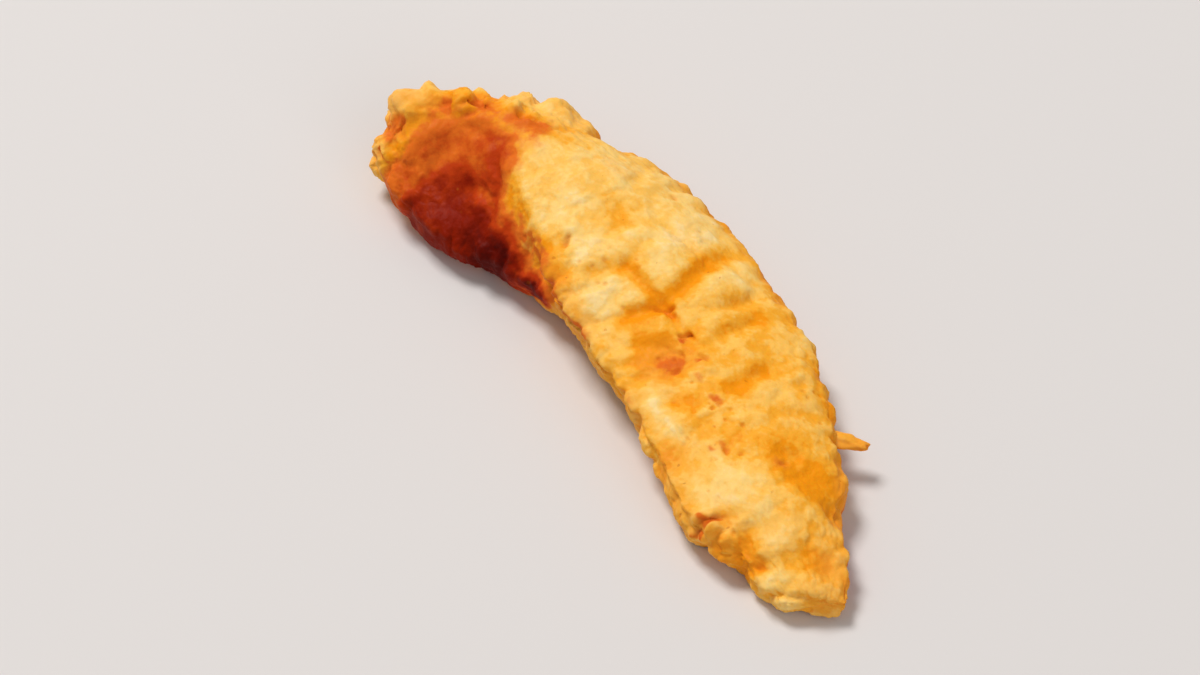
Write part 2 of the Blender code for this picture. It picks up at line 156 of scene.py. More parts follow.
# Single creases, dents and lumps of the upper side: share of the length, place across as a share
# of the reach, half length, half width, turn from the strip's direction in degrees, and height
MARKS = (
    (0.514, 0.25, 0.0104, 0.0016, 109, -0.0011),
    (0.532, -0.45, 0.0046, 0.0015, 79, -0.0012),
    (0.500, -0.31, 0.0062, 0.0012, 14, -0.0009),
    (0.575, -0.22, 0.0058, 0.0010, 2, -0.0008),
    (0.450, -0.54, 0.0042, 0.0014, 63, -0.0008),
    (0.465, 0.35, 0.0070, 0.0010, 12, -0.0005),
    (0.390, 0.05, 0.0050, 0.0030, 60, -0.0005),
    (0.588, -0.57, 0.0034, 0.0018, 60, -0.0007),
    (0.624, -0.46, 0.0044, 0.0036, 20, -0.0013),
    (0.572, 0.56, 0.0050, 0.0014, 100, -0.0008),
    (0.608, 0.36, 0.0066, 0.0016, 100, -0.0008),
    (0.685, 0.20, 0.0062, 0.0019, 103, -0.0010),
    (0.700, -0.51, 0.0034, 0.0020, 60, -0.0006),
    (0.708, -0.15, 0.0012, 0.0011, 0, -0.0003),
    (0.783, -0.31, 0.0013, 0.0011, 0, -0.0003),
    (0.811, 0.35, 0.0024, 0.0017, 60, -0.0010),
    (0.855, 0.57, 0.0050, 0.0032, 30, -0.0010),
    (0.893, 0.97, 0.0034, 0.0018, 80, -0.0015),
    (0.915, -0.79, 0.0050, 0.0024, 20, -0.0009),
    (0.950, 0.35, 0.0044, 0.0034, 60, -0.0008),
    (0.157, -0.08, 0.0095, 0.0030, -12, -0.0010),
    (0.264, 0.95, 0.0040, 0.0030, 95, -0.0024),
    (0.672, 1.00, 0.0040, 0.0022, 90, -0.0009),
    (0.446, -0.80, 0.0080, 0.0012, -15, 0.0007),
    (0.580, -0.97, 0.0130, 0.0013, 0, 0.0007),
    (0.700, -0.84, 0.0060, 0.0026, 8, 0.0006),
    (0.823, -0.42, 0.0050, 0.0032, 20, 0.0005),
    (0.884, -0.96, 0.0040, 0.0036, 0, 0.0022),
    (0.922, -1.05, 0.0026, 0.0030, 0, 0.0012),
    (0.055, 0.54, 0.0036, 0.0034, 0, 0.0025),
    (0.192, 0.80, 0.0032, 0.0032, 0, 0.0013),
    (0.216, 0.86, 0.0044, 0.0036, 0, 0.0017),
)

# The flake that stands off the outer rim: share of the length, height as a share of the rim's,
# thickness, width and length, how far it leans along the strip, and the share of it that is sunk;
# then how it tapers, how rough it is and at what pitch, how finely it is split, its grain (size,
# height), and its least tone with the share of the crust's tone that is added to it
FLAKE_PLACE = 0.775
FLAKE_LEVEL = 0.95
FLAKE_SIZE = (0.0026, 0.0038, 0.0104)
FLAKE_LEAN = 0.05
FLAKE_SUNK = 0.42
FLAKE_TAPER = 0.40
FLAKE_ROUGHNESS = 0.26
FLAKE_ROUGH_PITCH = 0.36
FLAKE_SPLITS = 5
FLAKE_GRAIN = (0.0013, 0.00022)
FLAKE_PALE = 0.30
FLAKE_TONE = 0.4

# The mesh: rings, points round each, how dense these are on the belly, from the corner at the
# outer foot to the one at the inner foot, and the steps of the tables and of each curve
RINGS = 428
RING_POINTS = 230
BELLY_DENSITY = 0.35
OUTER_FOOT = 6
INNER_FOOT = 8
FINE_STEPS = 4000
CURVE_STEPS = 48

# How far the pieces stay inside the solid's box
BOX_SLACK = 0.00002

# Fine relief that the solid leaves out: bubbles, nodules where the crust is coarse, and beads
# (size, height, width of the shoulder, mean level), crinkles and grain (size, height), and the
# drift that all of these but the grain take
BUBBLES = (0.0028, 0.00016, 0.60, 0.60)
NODULES = (0.0023, 0.00028, 0.60, 0.55)
BEADS = (0.0012, 0.00013, 0.70, 0.55)
CRINKLES = ((0.0032, 0.00012), (0.0017, 0.00008), (0.0010, 0.00006))
GRAIN = ((0.0016, 0.00008), (0.0010, 0.00007))
SOFT_DRIFT = (0.0030, 0.0009)

# The patches of the bubbles and beads: size, soft edges, and the shares left between the patches,
# with the share of the crinkles left where the crust isn't coarse
BUBBLE_PATCH = 0.011
BUBBLE_EDGE = (-0.15, 0.45)
BEAD_EDGE = (-0.3, 0.3)
THIN_BUBBLES = 0.25
THIN_BEADS = 0.40
THIN_CRINKLES = 0.35

# How coarse the crust is in patches, on the rims and at the tip: how much, where it starts and
# where it is full
ROUGH_PATCHES = (0.5, 0.1, 0.6)
ROUGH_RIMS = (0.6, 0.80, 1.0)
ROUGH_TIP = (0.7, 0.86, 0.97)

# The share of the full section at which the fine relief is full, so that the ends stay calm
END_CALM = 0.6

# Pores: size of their grid, widest radius as a share of it, and share of places with one; then the
# least radius as a share of the widest, the share of the radius that is flat, and the depth
PORES = (0.0021, 0.42, 0.45)
PORE_LEAST = 0.45
PORE_FLAT = 0.35
PORE_DEPTH = 0.00048

# The pores' patches: size, and how full they are (how much, where it starts and where it is full)
PORE_PATCH = 0.014
PORE_SPREAD = (0.5, 0.25, 0.6)

# Cracks and slits, in the rows of MARKS: narrow, and as dark as a pit gets at this depth; their
# dark is partly browner crust and partly painted shade
CRACK_DEPTH = 0.0009
CRACKS = (
    (0.541, -0.25, 0.0020, 0.00040, 62, -0.0007),
    (0.552, -0.23, 0.0014, 0.00045, 20, -0.0008),
    (0.594, -0.22, 0.0014, 0.00045, 70, -0.0008),
    (0.600, -0.16, 0.0010, 0.00045, 20, -0.0006),
    (0.640, -0.16, 0.0012, 0.00060, 40, -0.0007),
    (0.622, -0.37, 0.0009, 0.00050, 0, -0.0006),
    (0.641, -0.52, 0.0009, 0.00050, 80, -0.0006),
    (0.713, -0.26, 0.0009, 0.0005, 40, -0.0004),
    (0.788, -0.34, 0.0009, 0.0005, 10, -0.0004),
    (0.822, 0.26, 0.0012, 0.0005, 100, -0.0005),
    (0.377, -0.70, 0.0014, 0.00050, -60, -0.0007),
    # The slit under the flap: a crack whose dark is partly painted shadow in its gap
    (0.866, -0.84, 0.0025, 0.00050, 80, -0.0011),
    (0.120, 0.31, 0.0030, 0.00050, 20, -0.0008),
    (0.190, 0.28, 0.0030, 0.00050, -15, -0.0008),
    (0.389, 0.64, 0.0008, 0.00040, 0, -0.0005),
)

# Tints, in the rows of MARKS with a strength in place of the height
AMBER_SPOTS = (
    (0.514, 0.25, 0.0104, 0.0020, 109, 0.85),
    (0.532, -0.48, 0.0056, 0.0020, 79, 0.95),
    (0.500, -0.31, 0.0060, 0.0014, 14, 0.45),
    (0.450, -0.56, 0.0045, 0.0022, 62, 0.60),
    (0.441, -0.16, 0.0040, 0.0026, 30, 0.12),
    (0.389, 0.04, 0.0060, 0.0034, 60, 0.14),
    (0.588, -0.56, 0.0036, 0.0024, 60, 0.75),
    (0.607, 0.41, 0.0080, 0.0022, 100, 0.30),
    (0.686, 0.18, 0.0066, 0.0020, 103, 0.80),
    (0.704, -0.57, 0.0036, 0.0026, 60, 0.75),
    (0.793, 0.20, 0.0040, 0.0022, 80, 0.55),
    (0.822, 0.26, 0.0026, 0.0022, 60, 0.60),
    (0.778, -0.17, 0.0050, 0.0015, 0, 0.30),
    (0.873, -0.53, 0.0030, 0.0020, 80, 0.40),
    (0.820, -0.30, 0.0140, 0.0064, 0, 0.24),
    (0.856, 0.57, 0.0056, 0.0040, 30, 1.00),
    (0.881, 0.96, 0.0030, 0.0020, 0, 0.90),
    (0.950, 0.32, 0.0070, 0.0050, 80, 0.50),
    (0.912, -0.80, 0.0060, 0.0032, 20, 1.00),
    (0.077, 0.40, 0.0090, 0.0040, 0, 0.45),
    (0.117, 0.25, 0.0080, 0.0040, -5, 0.60),
    (0.185, 0.15, 0.0080, 0.0040, -10, 0.75),
    (0.240, 0.27, 0.0080, 0.0040, -10, 0.25),
    (0.390, -0.95, 0.0090, 0.0035, -10, 0.80),
    (0.618, -0.54, 0.0064, 0.0046, 20, 0.60),
    (0.552, -0.63, 0.0040, 0.0020, 70, 0.40),
)
BROWN_SPOTS = (
    (0.620, -0.58, 0.0018, 0.0012, 60, 0.09),
    (0.632, -0.48, 0.0016, 0.0012, 10, 0.09),
    (0.623, -0.54, 0.0040, 0.0030, 20, 0.18),
    (0.599, -0.26, 0.0008, 0.0006, 0, 0.26),
    (0.639, -0.25, 0.0009, 0.0007, 0, 0.26),
    (0.671, -0.33, 0.0014, 0.0011, 0, 0.15),
    (0.822, 0.24, 0.0019, 0.0015, 0, 0.15),
    (0.731, 0.67, 0.0013, 0.0015, 0, 0.09),
    (0.783, -0.48, 0.0008, 0.0006, 0, 0.14),
    (0.552, -0.23, 0.0016, 0.0010, 40, 0.12),
    (0.594, -0.22, 0.0014, 0.0010, 60, 0.16),
    (0.640, -0.16, 0.0014, 0.0010, 0, 0.10),
    (0.713, -0.26, 0.0017, 0.0013, 20, 0.20),
    (0.788, -0.34, 0.0017, 0.0012, 0, 0.20),
    # Brown along the slit under the flap, partly brown crust and partly painted shadow
    (0.866, -0.84, 0.0026, 0.0006, 80, 0.42),
    (0.512, -1.04, 0.0036, 0.0014, 0, 0.18),
    (0.660, -1.04, 0.0060, 0.0012, 0, 0.14),
    (0.190, 0.18, 0.0060, 0.0020, -10, 0.18),
    (0.117, 0.22, 0.0060, 0.0020, -10, 0.10),
    (0.178, -0.12, 0.0040, 0.0011, -11, 0.16),
    (0.220, -0.24, 0.0082, 0.0028, 84, 0.16),
    (0.190, 0.06, 0.0066, 0.0046, 80, 0.12),
)
# Pale cream spots, partly paler crust and partly painted highlights
CREAM_AND_HIGHLIGHT_SPOTS = (
    (0.702, -0.83, 0.0064, 0.0030, 5, 0.60),
    (0.822, -0.40, 0.0060, 0.0035, 15, 0.18),
    (0.823, -0.81, 0.0060, 0.0035, 0, 0.16),
    (0.331, -0.49, 0.0080, 0.0040, 60, 0.45),
    (0.396, -0.62, 0.0050, 0.0020, -15, 0.55),
    (0.478, -0.62, 0.0044, 0.0030, 0, 0.50),
    (0.493, -0.03, 0.0034, 0.0028, 0, 0.35),
    (0.445, 0.32, 0.0070, 0.0060, 0, 0.45),
    (0.430, 0.73, 0.0080, 0.0045, 0, 0.40),
    (0.472, 0.58, 0.0052, 0.0056, 0, 0.34),
    (0.660, 0.28, 0.0170, 0.0070, 0, 0.30),
    (0.530, 0.66, 0.0040, 0.0032, 0, 0.45),
    (0.550, 0.11, 0.0044, 0.0038, 0, 0.30),
    (0.919, -0.13, 0.0040, 0.0034, 0, 0.10),
    (0.290, 0.21, 0.0100, 0.0060, 0, 0.08),
)
PORE_SPOTS = (
    (0.735, -0.43, 0.0080, 0.0050, 30, 1.0),
    (0.624, -0.46, 0.0050, 0.0040, 20, 0.7),
    (0.770, -0.27, 0.0060, 0.0040, 0, 0.8),
    (0.660, -0.32, 0.0040, 0.0030, 0, 0.5),
)

# The crust's tone, from 0 for amber creases to 1 for cream tops: its base, and what is added by
# the relief, partly the crust's own paler tops and amber creases and partly painted light on the
# tops and painted shade in the creases, by the fine relief, painted shade in the fine hollows and
# painted light on the fine tops, by broad patches and the spots above, and taken off on the sides,
# in the ragged places and along the rims (how much, where it starts and where it is full)
TONE_LOW = 0.26
TONE_RELIEF = 0.50
TONE_HEIGHTS = (-0.0014, 0.0010)
FINE_PAINTED_SHADING = 0.22
FINE_HEIGHTS = (-0.00022, 0.00020)
TONE_PATCHES = 0.14
TONE_PATCH = 0.018
TONE_SPOTS = 0.58
TONE_SIDES = 0.06
SIDES_FROM = (0.0, 0.6)
TONE_RAGGED = 0.04
TONE_RIMS = (0.24, 0.78, 1.0)

# The inner wall of the thick half, fried brown, with painted shadow on its dark lower part: share
# of the length, how far past the ridge a red-brown band starts and is full, how brown it is, where
# the dark below it starts and is full, and how dark that is, partly brown crust and partly painted
# shadow
WALL = (
    (0.02, 0.0025, -0.0030, 0.37, -0.0055, -0.0105, 0.72),
    (0.10, 0.0012, -0.0040, 0.32, -0.0050, -0.0125, 0.83),
    (0.14, 0.0045, -0.0012, 0.38, -0.0042, -0.0100, 0.84),
    (0.16, 0.0042, -0.0008, 0.42, -0.0052, -0.0106, 0.86),
    (0.20, 0.0036, -0.0044, 0.42, -0.0050, -0.0108, 0.91),
    (0.24, -0.0006, -0.0060, 0.43, -0.0046, -0.0100, 0.95),
    (0.26, -0.0022, -0.0054, 0.46, -0.0040, -0.0086, 1.00),
    (0.30, -0.0014, -0.0046, 0.44, -0.0036, -0.0070, 0.98),
    (0.34, -0.0008, -0.0036, 0.38, -0.0026, -0.0056, 0.98),
    (0.40, -0.0006, -0.0030, 0.28, -0.0022, -0.0052, 0.98),
    (0.46, -0.0006, -0.0030, 0.12, -0.0022, -0.0052, 0.60),
    (0.52, -0.0006, -0.0030, 0.00, -0.0022, -0.0052, 0.00),
)

# How uneven the wall's brown and painted shadow are, over what size, and where they fade out under
# the belly
WALL_MOTTLE = 0.16
WALL_PATCH = 0.0062
WALL_UNDER = (-0.95, -0.6)

# The amber fringe past the wall's edge: how much tone it takes off, how far it reaches, and
# between which shares of the length it fades out
WALL_FRINGE = 0.6
FRINGE_REACH = 0.0026
FRINGE_SHARES = (0.36, 0.26)

# Stray brown patches on the sides and the belly (how brown, where they start and where they are
# full), how far up the surface may face there, and the brown of the creases in the ragged places,
# partly browner crust and partly painted shade in the creases, with the heights between which it
# fades out
STRAY_BROWN = (0.34, 0.0, 0.7)
STRAY_SIDES = (-0.1, 0.45)
RAGGED_CREASES = 0.23
CREASE_HEIGHTS = (-0.0018, 0.0006)

# Size and height of the two drifts that make the edges of spots, rims and browned wall wander
TINT_DRIFT = (0.0060, 0.0014)
FINE_DRIFT = (0.0016, 0.0006)

# Colours from 0 to 255, chosen so that the lit batter looks like the real one: the crust's by its
# tone and the brown crust's by how brown it is, its darkest stops partly painted shadow on the
# wall, each with the share at which it is reached; then those of pits, partly painted shade,
# specks, coarse crust and the floor
TONES = (
    (0.00, (242, 148, 16)),
    (0.26, (247, 170, 48)),
    (0.52, (251, 191, 88)),
    (0.80, (251, 206, 119)),
    (1.00, (251, 215, 144)),
)
BROWNS_AND_SHADE = (
    (0.00, (246, 162, 46)),
    (0.25, (224, 110, 30)),
    (0.50, (185, 58, 12)),
    (0.75, (134, 26, 2)),
    (1.00, (90, 9, 1)),
)
PIT = (206, 104, 24)
SPECK = (172, 84, 24)
PEACH = (241, 164, 76)
FLOOR = (218, 213, 210)

# The material's noises: size, detail and offset
BROAD_NOISE = (0.012, 2.0, 3.1)
MOTTLE_NOISE = (0.0040, 4.0, 5.7)
GRAIN_NOISE = (0.0016, 2.0, 8.3)
DUST_NOISE = (0.0008, 1.0, 4.6)
FLECK_NOISE = (0.0016, 1.0, 1.9)
BUMP_NOISE = (0.0007, 3.0, 2.2)
NOISE_ROUGHNESS = 0.55

# How far the mottle, the grain and the dust swing the tone and the browning either way, and the
# part of a noise's range that makes the whole swing
TONE_SWINGS = (0.18, 0.07, 0.03)
BROWN_SWINGS = (0.07, 0.03)
SWING_SPAN = (0.25, 0.75)

# Spans of noise or share, some with what they turn into: the peach of coarse crust, the browning
# and painted shadow that cover the tone, the specks and their patches, and the roughness; then the
# strength of the pits' colours, partly painted shade, and of the specks' colours
PEACH_SPAN = (0.35, 0.65, 0.0, 0.45)
BROWN_COVER = (0.04, 0.26)
SPECK_SPAN = (0.73, 0.78)
SPECK_PATCHES = (0.45, 0.62)
ROUGHNESS_SPAN = (0.30, 0.70, 0.40, 0.60)
PIT_STRENGTH = 0.65
SPECK_STRENGTH = 0.4

# The finest grain, as bump: how much dust is added to its noise, and its strength and height
BUMP_DUST = 0.8
BUMP_STRENGTH = 0.4
BUMP_HEIGHT = 0.00025

# What is the same all over the batter and the floor
BATTER_FINISH = {
    "Subsurface Weight": 0.12,
    "Subsurface Radius": (1.0, 0.45, 0.15),
    "Subsurface Scale": 0.0012,
    "Specular IOR Level": 0.05,
}
FLOOR_FINISH = {"Roughness": 0.9, "Specular IOR Level": 0.1}

# Half the floor's side, and how far below the table's level it lies
FLOOR_HALF = 6.0
FLOOR_DROP = 0.0002

# The camera's direction in degrees, its lens in millimetres, and its distance
AZIMUTH = 52.5
ELEVATION = 48.0
LENS = 120.0
DISTANCE = 0.75

# Lights: how far to the camera's right, away from it and up, the side of the square panel, and the
# power in watts; then the surroundings' colour and strength
KEY = ((-0.95, 1.05, 2.4), 0.9, 60.0)
FILL = ((0.9, -1.6, 1.2), 1.6, 9.5)
WORLD = (0.80, 0.79, 0.78, 1.0)
WORLD_STRENGTH = 0.42

# The sockets of a Mix node that mixes colours: the share and the two colours, and the result
MIX_INPUTS = (0, 6, 7)
MIX_OUTPUT = 2

# The random numbers' large odd factors for a cell's place and for the seed, the two rounds that
# mix the bits (shift, factor) with the shift after them, and the lowest 32 and 24 bits
CELL_FACTORS = (73856093, 19349663, 83492791)
SEED_FACTOR = 2654435761
MIX_ROUNDS = ((15, 2246822519), (13, 3266489917))
LAST_SHIFT = 16
LOW_32_BITS = 0xFFFFFFFF
LOW_24_BITS = 0xFFFFFF


def scatter(cell, seed):
    """Three repeatable random numbers from 0 to 1 for each whole-numbered cell."""
    x, y, z = (cell[..., axis] * factor for axis, factor in enumerate(CELL_FACTORS))
    n = (x ^ y ^ z ^ seed * SEED_FACTOR) & LOW_32_BITS
    values = []
    for _ in range(3):
        for shift, factor in MIX_ROUNDS:
            n = (n ^ (n >> shift)) * factor & LOW_32_BITS
        n = n ^ (n >> LAST_SHIFT)
        values.append((n & LOW_24_BITS) / LOW_24_BITS)
    return np.stack(values, axis=-1)


def ripple(points, seed):
    """Smooth random waves about one unit long, from -1 to 1, as three independent values."""
    base = np.floor(points).astype(np.int64)
    share = points - base
    share = share**3 * (share * (6 * share - 15) + 10)
    total = 0.0
    for corner in itertools.product((0, 1), repeat=3):
        near = np.where(np.array(corner) == 1, share, 1 - share)
        total = total + near.prod(axis=-1, keepdims=True) * scatter(base + corner, seed)
    return 2 * total - 1


def crease_gap(points, jitter, seed):
    """How much nearer the nearest seed of a jittered grid is than the second: 0 in a crease."""
    base = np.floor(points).astype(np.int64)
    first = np.full(len(points), np.inf)
    second = first.copy()
    for step in itertools.product((-1, 0, 1), repeat=3):
        cell = base + step
        seeds = cell + 0.5 + jitter * (scatter(cell, seed) - 0.5)
        far = np.linalg.norm(points - seeds, axis=-1)
        second = np.minimum(second, np.maximum(first, far))
        first = np.minimum(first, far)
    return second - first


def pores(points, seed):
    """Small round pits, as a depth from 0 to 1."""
    size, widest, kept = PORES
    points = points / size
    base = np.floor(points).astype(np.int64)
    depth = np.zeros(len(points))
    for step in itertools.product((-1, 0, 1), repeat=3):
        cell = base + step
        draw = scatter(cell, seed + 1)
        seeds = cell + 0.5 + JITTER * (scatter(cell, seed) - 0.5)
        radius = widest * at_least(PORE_LEAST, draw[:, 1])
        far = np.linalg.norm(points - seeds, axis=-1) / radius
        depth = np.maximum(depth, (draw[:, 0] < kept) * (1 - smooth(PORE_FLAT, 1.0, far)))
    return depth


def puffed(gap, shoulder):
    """A puff's profile: 0 in the sharp crease, rounding to 1 on top."""
    return 1 - (1 - np.clip(gap / shoulder, 0, 1)) ** 2


def pillow(gap, shoulder):
    """A soft puff's profile: 0 in the rounded crease, rising to 1 on the flat top."""
    return smooth(0, shoulder, gap)


def smooth(low, high, x):
    """Rises smoothly from 0 at low to 1 at high; low may be the greater of the two."""
    t = np.clip((x - low) / (high - low), 0, 1)
    return t * t * (3 - 2 * t)


def rising(rise, x):
    """Rises smoothly from 0 to its full size: (full size, start, end)."""
    full, start, end = rise
    return full * smooth(start, end, x)


def at_least(least, share):
    """The share squeezed into the range from the least to 1."""
    return least + (1 - least) * share


def spine(share):
    """Points on the centreline and its unit directions, seen from above."""
    t = share[:, None]
    p = [np.array(corner) for corner in SPINE]
    at = (1 - t) ** 3 * p[0] + 3 * (1 - t) ** 2 * t * p[1] + 3 * (1 - t) * t**2 * p[2] + t**3 * p[3]
    way = (1 - t) ** 2 * (p[1] - p[0]) + 2 * (1 - t) * t * (p[2] - p[1]) + t**2 * (p[3] - p[2])
    return at, way / np.linalg.norm(way, axis=1, keepdims=True)


def spine_table():
    """Length along the centreline for evenly spaced shares of the curve."""
    share = np.linspace(0, 1, FINE_STEPS)
    at, _ = spine(share)
    steps = np.linalg.norm(np.diff(at, axis=0), axis=1)
    return share, np.concatenate([[0.0], np.cumsum(steps)])


def section_sizes(along, length):
    """The cross-section's sizes at each distance along, on a smooth curve through the rows."""
    table = np.array(SECTIONS)
    share = np.clip(along / length, 0, 1)
    at = np.clip(np.searchsorted(table[:, 0], share, side="right") - 1, 0, len(table) - 2)
    before = table[np.maximum(at - 1, 0)]
    low, high = table[at], table[at + 1]
    after = table[np.minimum(at + 2, len(table) - 1)]
    step = high[:, :1] - low[:, :1]
    t = (share[:, None] - low[:, :1]) / step
    rise_low = (high - before) / (high[:, :1] - before[:, :1]) * step
    rise_high = (after - low) / (after[:, :1] - low[:, :1]) * step
    value = (
        (2 * t**3 - 3 * t**2 + 1) * low
        + (t**3 - 2 * t**2 + t) * rise_low
        + (3 * t**2 - 2 * t**3) * high
        + (t**3 - t**2) * rise_high
    )
    return value[:, 1:]


def end_share(along, length):
    """1 along the body, falling to 0 at both ends: round at the blunt one, squarish at the tip."""
    blunt = np.clip(1 - along / BLUNT_ROUND, 0, 1)
    tip = np.clip(1 - (length - along) / TIP_ROUND, 0, 1)
    return np.sqrt(1 - blunt**2) * (1 - tip**TIP_SQUARENESS) ** (1 / TIP_SQUARENESS)


def ring_places(length, count):
    """Distances along for the rings, closer together where the ends round off."""
    along = np.linspace(0, length, FINE_STEPS)
    reach = section_sizes(along, length)[:, 1] * end_share(along, length)
    walked = np.concatenate([[0.0], np.cumsum(np.hypot(np.diff(along), np.diff(reach)))])
    return np.interp(np.linspace(0, walked[-1], count), walked, along)


def section_corners(sizes):
    """(across, up) of the named places round a section, from the inner rim over the crown."""
    inner, outer, ridge_at, ridge_up, crown_at, crown_up, outer_up, gap = sizes
    inner_rim = np.array([-inner, gap + RIM_LEVEL * (min(ridge_up, outer_up) - gap)])
    ridge = np.array([ridge_at, ridge_up])
    bulge = WALL_BULGE - WALL_HOLLOW * smooth(*TALL_WALL, ridge_up - inner_rim[1])
    wall = (inner_rim + ridge) / 2 + bulge * np.array(WALL_OUTWARD)
    outer_edge = (OUTER_EDGE_SHARE * outer, outer_up)
    outer_rim = (outer, gap + RIM_LEVEL * (outer_up - gap))
    feet = (FOOT_SHARE * outer, gap), (0.0, gap), (-FOOT_SHARE * inner, gap)
    return np.array([inner_rim, wall, ridge, (crown_at, crown_up), outer_edge, outer_rim, *feet])


def closed_curve(corners):
    """A smooth closed curve through the corners."""
    t = (np.arange(CURVE_STEPS) / CURVE_STEPS)[:, None]
    runs = []
    for k in range(len(corners)):
        a, b, c, d = (corners[(k + step) % len(corners)] for step in (-1, 0, 1, 2))
        second = 2 * a - 5 * b + 4 * c - d
        third = 3 * b - a - 3 * c + d
        runs.append(b + 0.5 * t * (c - a + t * (second + t * third)))
    return np.concatenate(runs)


def cross_section(sizes, shrink, count):
    """Points (across, up) round one cross-section, from the inner rim on, fewer on the belly."""
    outline = closed_curve(section_corners(sizes))
    middle = outline.mean(axis=0)
    outline = middle + shrink * (outline - middle)
    outline = np.concatenate([outline, outline[:1]])
    steps = np.linalg.norm(np.diff(outline, axis=0), axis=1)
    steps[OUTER_FOOT * CURVE_STEPS:INNER_FOOT * CURVE_STEPS] *= BELLY_DENSITY
    walked = np.concatenate([[0.0], np.cumsum(steps)])
    at = np.arange(count) / count * walked[-1]
    return np.stack([np.interp(at, walked, outline[:, k]) for k in (0, 1)], axis=-1)


def straight_body(rings, ring_points, length):
    """The bare body as a grid of points (along, across, up), one row to each ring."""
    places = ring_places(length, rings)
    sizes = section_sizes(places, length)
    shrink = end_share(places, length)
    slant = TIP_SLANT * smooth(*SLANT_ENDS, places / length)
    grid = np.empty((rings, ring_points, 3))
    for row, place in enumerate(places):
        grid[row, :, 1:] = cross_section(sizes[row], shrink[row], ring_points)
        grid[row, :, 0] = place + slant[row] * grid[row, :, 1]
    return grid


def grid_normals(grid):
    """Outward unit normals of the closed grid of rings."""
    down = np.gradient(grid, axis=0)
    around = np.roll(grid, -1, axis=1) - np.roll(grid, 1, axis=1)
    normal = np.cross(down, around)
    normal /= np.maximum(np.linalg.norm(normal, axis=-1, keepdims=True), 1e-12)
    normal[0], normal[-1] = (-1, 0, 0), (1, 0, 0)
    return normal


def across_share(points, length):
    """Place across the strip: -1 at the inner rim, 1 at the outer rim."""
    reach = section_sizes(points[:, 0], length)
    return points[:, 1] / np.where(points[:, 1] < 0, reach[:, 0], reach[:, 1])


def scallops(points, length):
    """Rounded lumps with sharp notches between them along both rims."""
    place = across_share(points, length)
    drift = ripple(points / SCALLOP_DRIFT, SEED + 7)
    height = 0.0
    for side, (pitch, tall) in ((1, OUTER_SCALLOP), (-1, INNER_SCALLOP)):
        wave = np.abs(np.sin(math.pi * (points[:, 0] / pitch + drift[:, side])))
        tall = tall * (1 + SCALLOP_UNEVEN * drift[:, 2])
        height = height + tall * (wave - SCALLOP_LEVEL) * smooth(*RIM_EDGE, side * place)
    return height


def marks(points, length, rows):
    """The sum of single long or round marks, each fading out at its edge."""
    place = across_share(points, length)
    total = 0.0
    for share, across, half_length, half_width, turn, tall in rows:
        reach = section_sizes(np.array([share * length]), length)[0, 0 if across < 0 else 1]
        along = points[:, 0] - share * length
        aside = (place - across) * reach
        c, s = math.cos(math.radians(turn)), math.sin(math.radians(turn))
        u = (c * along + s * aside) / half_length
        v = (c * aside - s * along) / half_width
        total = total + tall * np.exp(-(u**4) - v**2)
    return total


def cells(points, sizes, seed, profile=puffed):
    """Puffs over a jittered grid, as heights about their mean level."""
    size, height, shoulder, level = sizes
    return height * (profile(crease_gap(points / size, JITTER, seed), shoulder) - level)


def waves(points, sizes, seed):
    """Random waves of one size and height, as three independent values."""
    size, height = sizes
    return height * ripple(points / size, seed)


def crinkles(points, sizes, seed):
    """Sharp little ridges between soft valleys, as heights about their mean level."""
    size, height = sizes
    return height * (0.5 - 2 * np.abs(ripple(points / size, seed)[:, 0]))


def wandered(points):
    """The places of marks and tints, moved by the same slow drift as the marks of the relief."""
    return points + MARK_DRIFT * waves(bend(points), DRIFT, SEED)


def ragged_share(points, length):
    """How ragged the crust is: 1 on the crest, less on the inner flank near the tip, or 0."""
    share = points[:, 0] / length
    place = across_share(points, length)
    crest = smooth(*CREST_ENDS, share) * smooth(*CREST_EDGE, place)
    flank = smooth(*FLANK_ENDS, share) * smooth(*FLANK_EDGE, place)
    return np.maximum(crest, FLANK_CRAGS * flank)


def crust_relief(points, normals, length):
    """How far the crust stands out from the bare body at each point of the straight space."""
    bent = bend(points)
    drift = waves(bent, DRIFT, SEED)
    rows = smooth(*ROWS_FROM, points[:, 0] / length)
    in_rows = cells((points + drift) / ROW_STRETCH, PUFFS, SEED + 1, pillow)
    at_random = cells(bent + drift, PUFFS, SEED + 1, pillow)
    patches = smooth(*PATCH_EDGE, ripple(bent / BLISTER_PATCH, SEED + 4)[:, 0])
    ragged = ragged_share(points, length)
    upper = smooth(*UPPER_EDGE, normals[:, 2])
    face = smooth(*FACE_EDGE, normals[:, 2]) * (1 - ragged)
    blistered = at_least(THIN_BLISTERS, patches) * (1 - (1 - FACE_BLISTERS) * face)
    relief = (
        waves(bent, SWELLS, SEED + 3)[:, 0]
        + waves(bent, LUMPS, SEED + 6)[:, 0]
        + (1 - (1 - FACE_PUFFS) * face) * (rows * in_rows + (1 - rows) * at_random)
        + blistered * cells(bent + drift, BLISTERS, SEED + 2, pillow)
        + ragged * cells(bent + drift, CRAGS, SEED + 5, pillow)
        + scallops(points, length)
    )
    marked = upper * marks(points + MARK_DRIFT * drift, length, MARKS)
    return relief * at_least(BELLY_CALM, upper) + marked


def bend(points):
    """Carries points from the straight space onto the crescent, and straight on past its end."""
    share, walked = spine_table()
    at, way = spine(np.interp(points[:, 0], walked, share))
    at = at + way * np.maximum(points[:, :1] - walked[-1], 0)
    outer = np.stack([-way[:, 1], way[:, 0]], axis=-1)
    return np.column_stack([at + outer * points[:, 1:2], points[:, 2]])


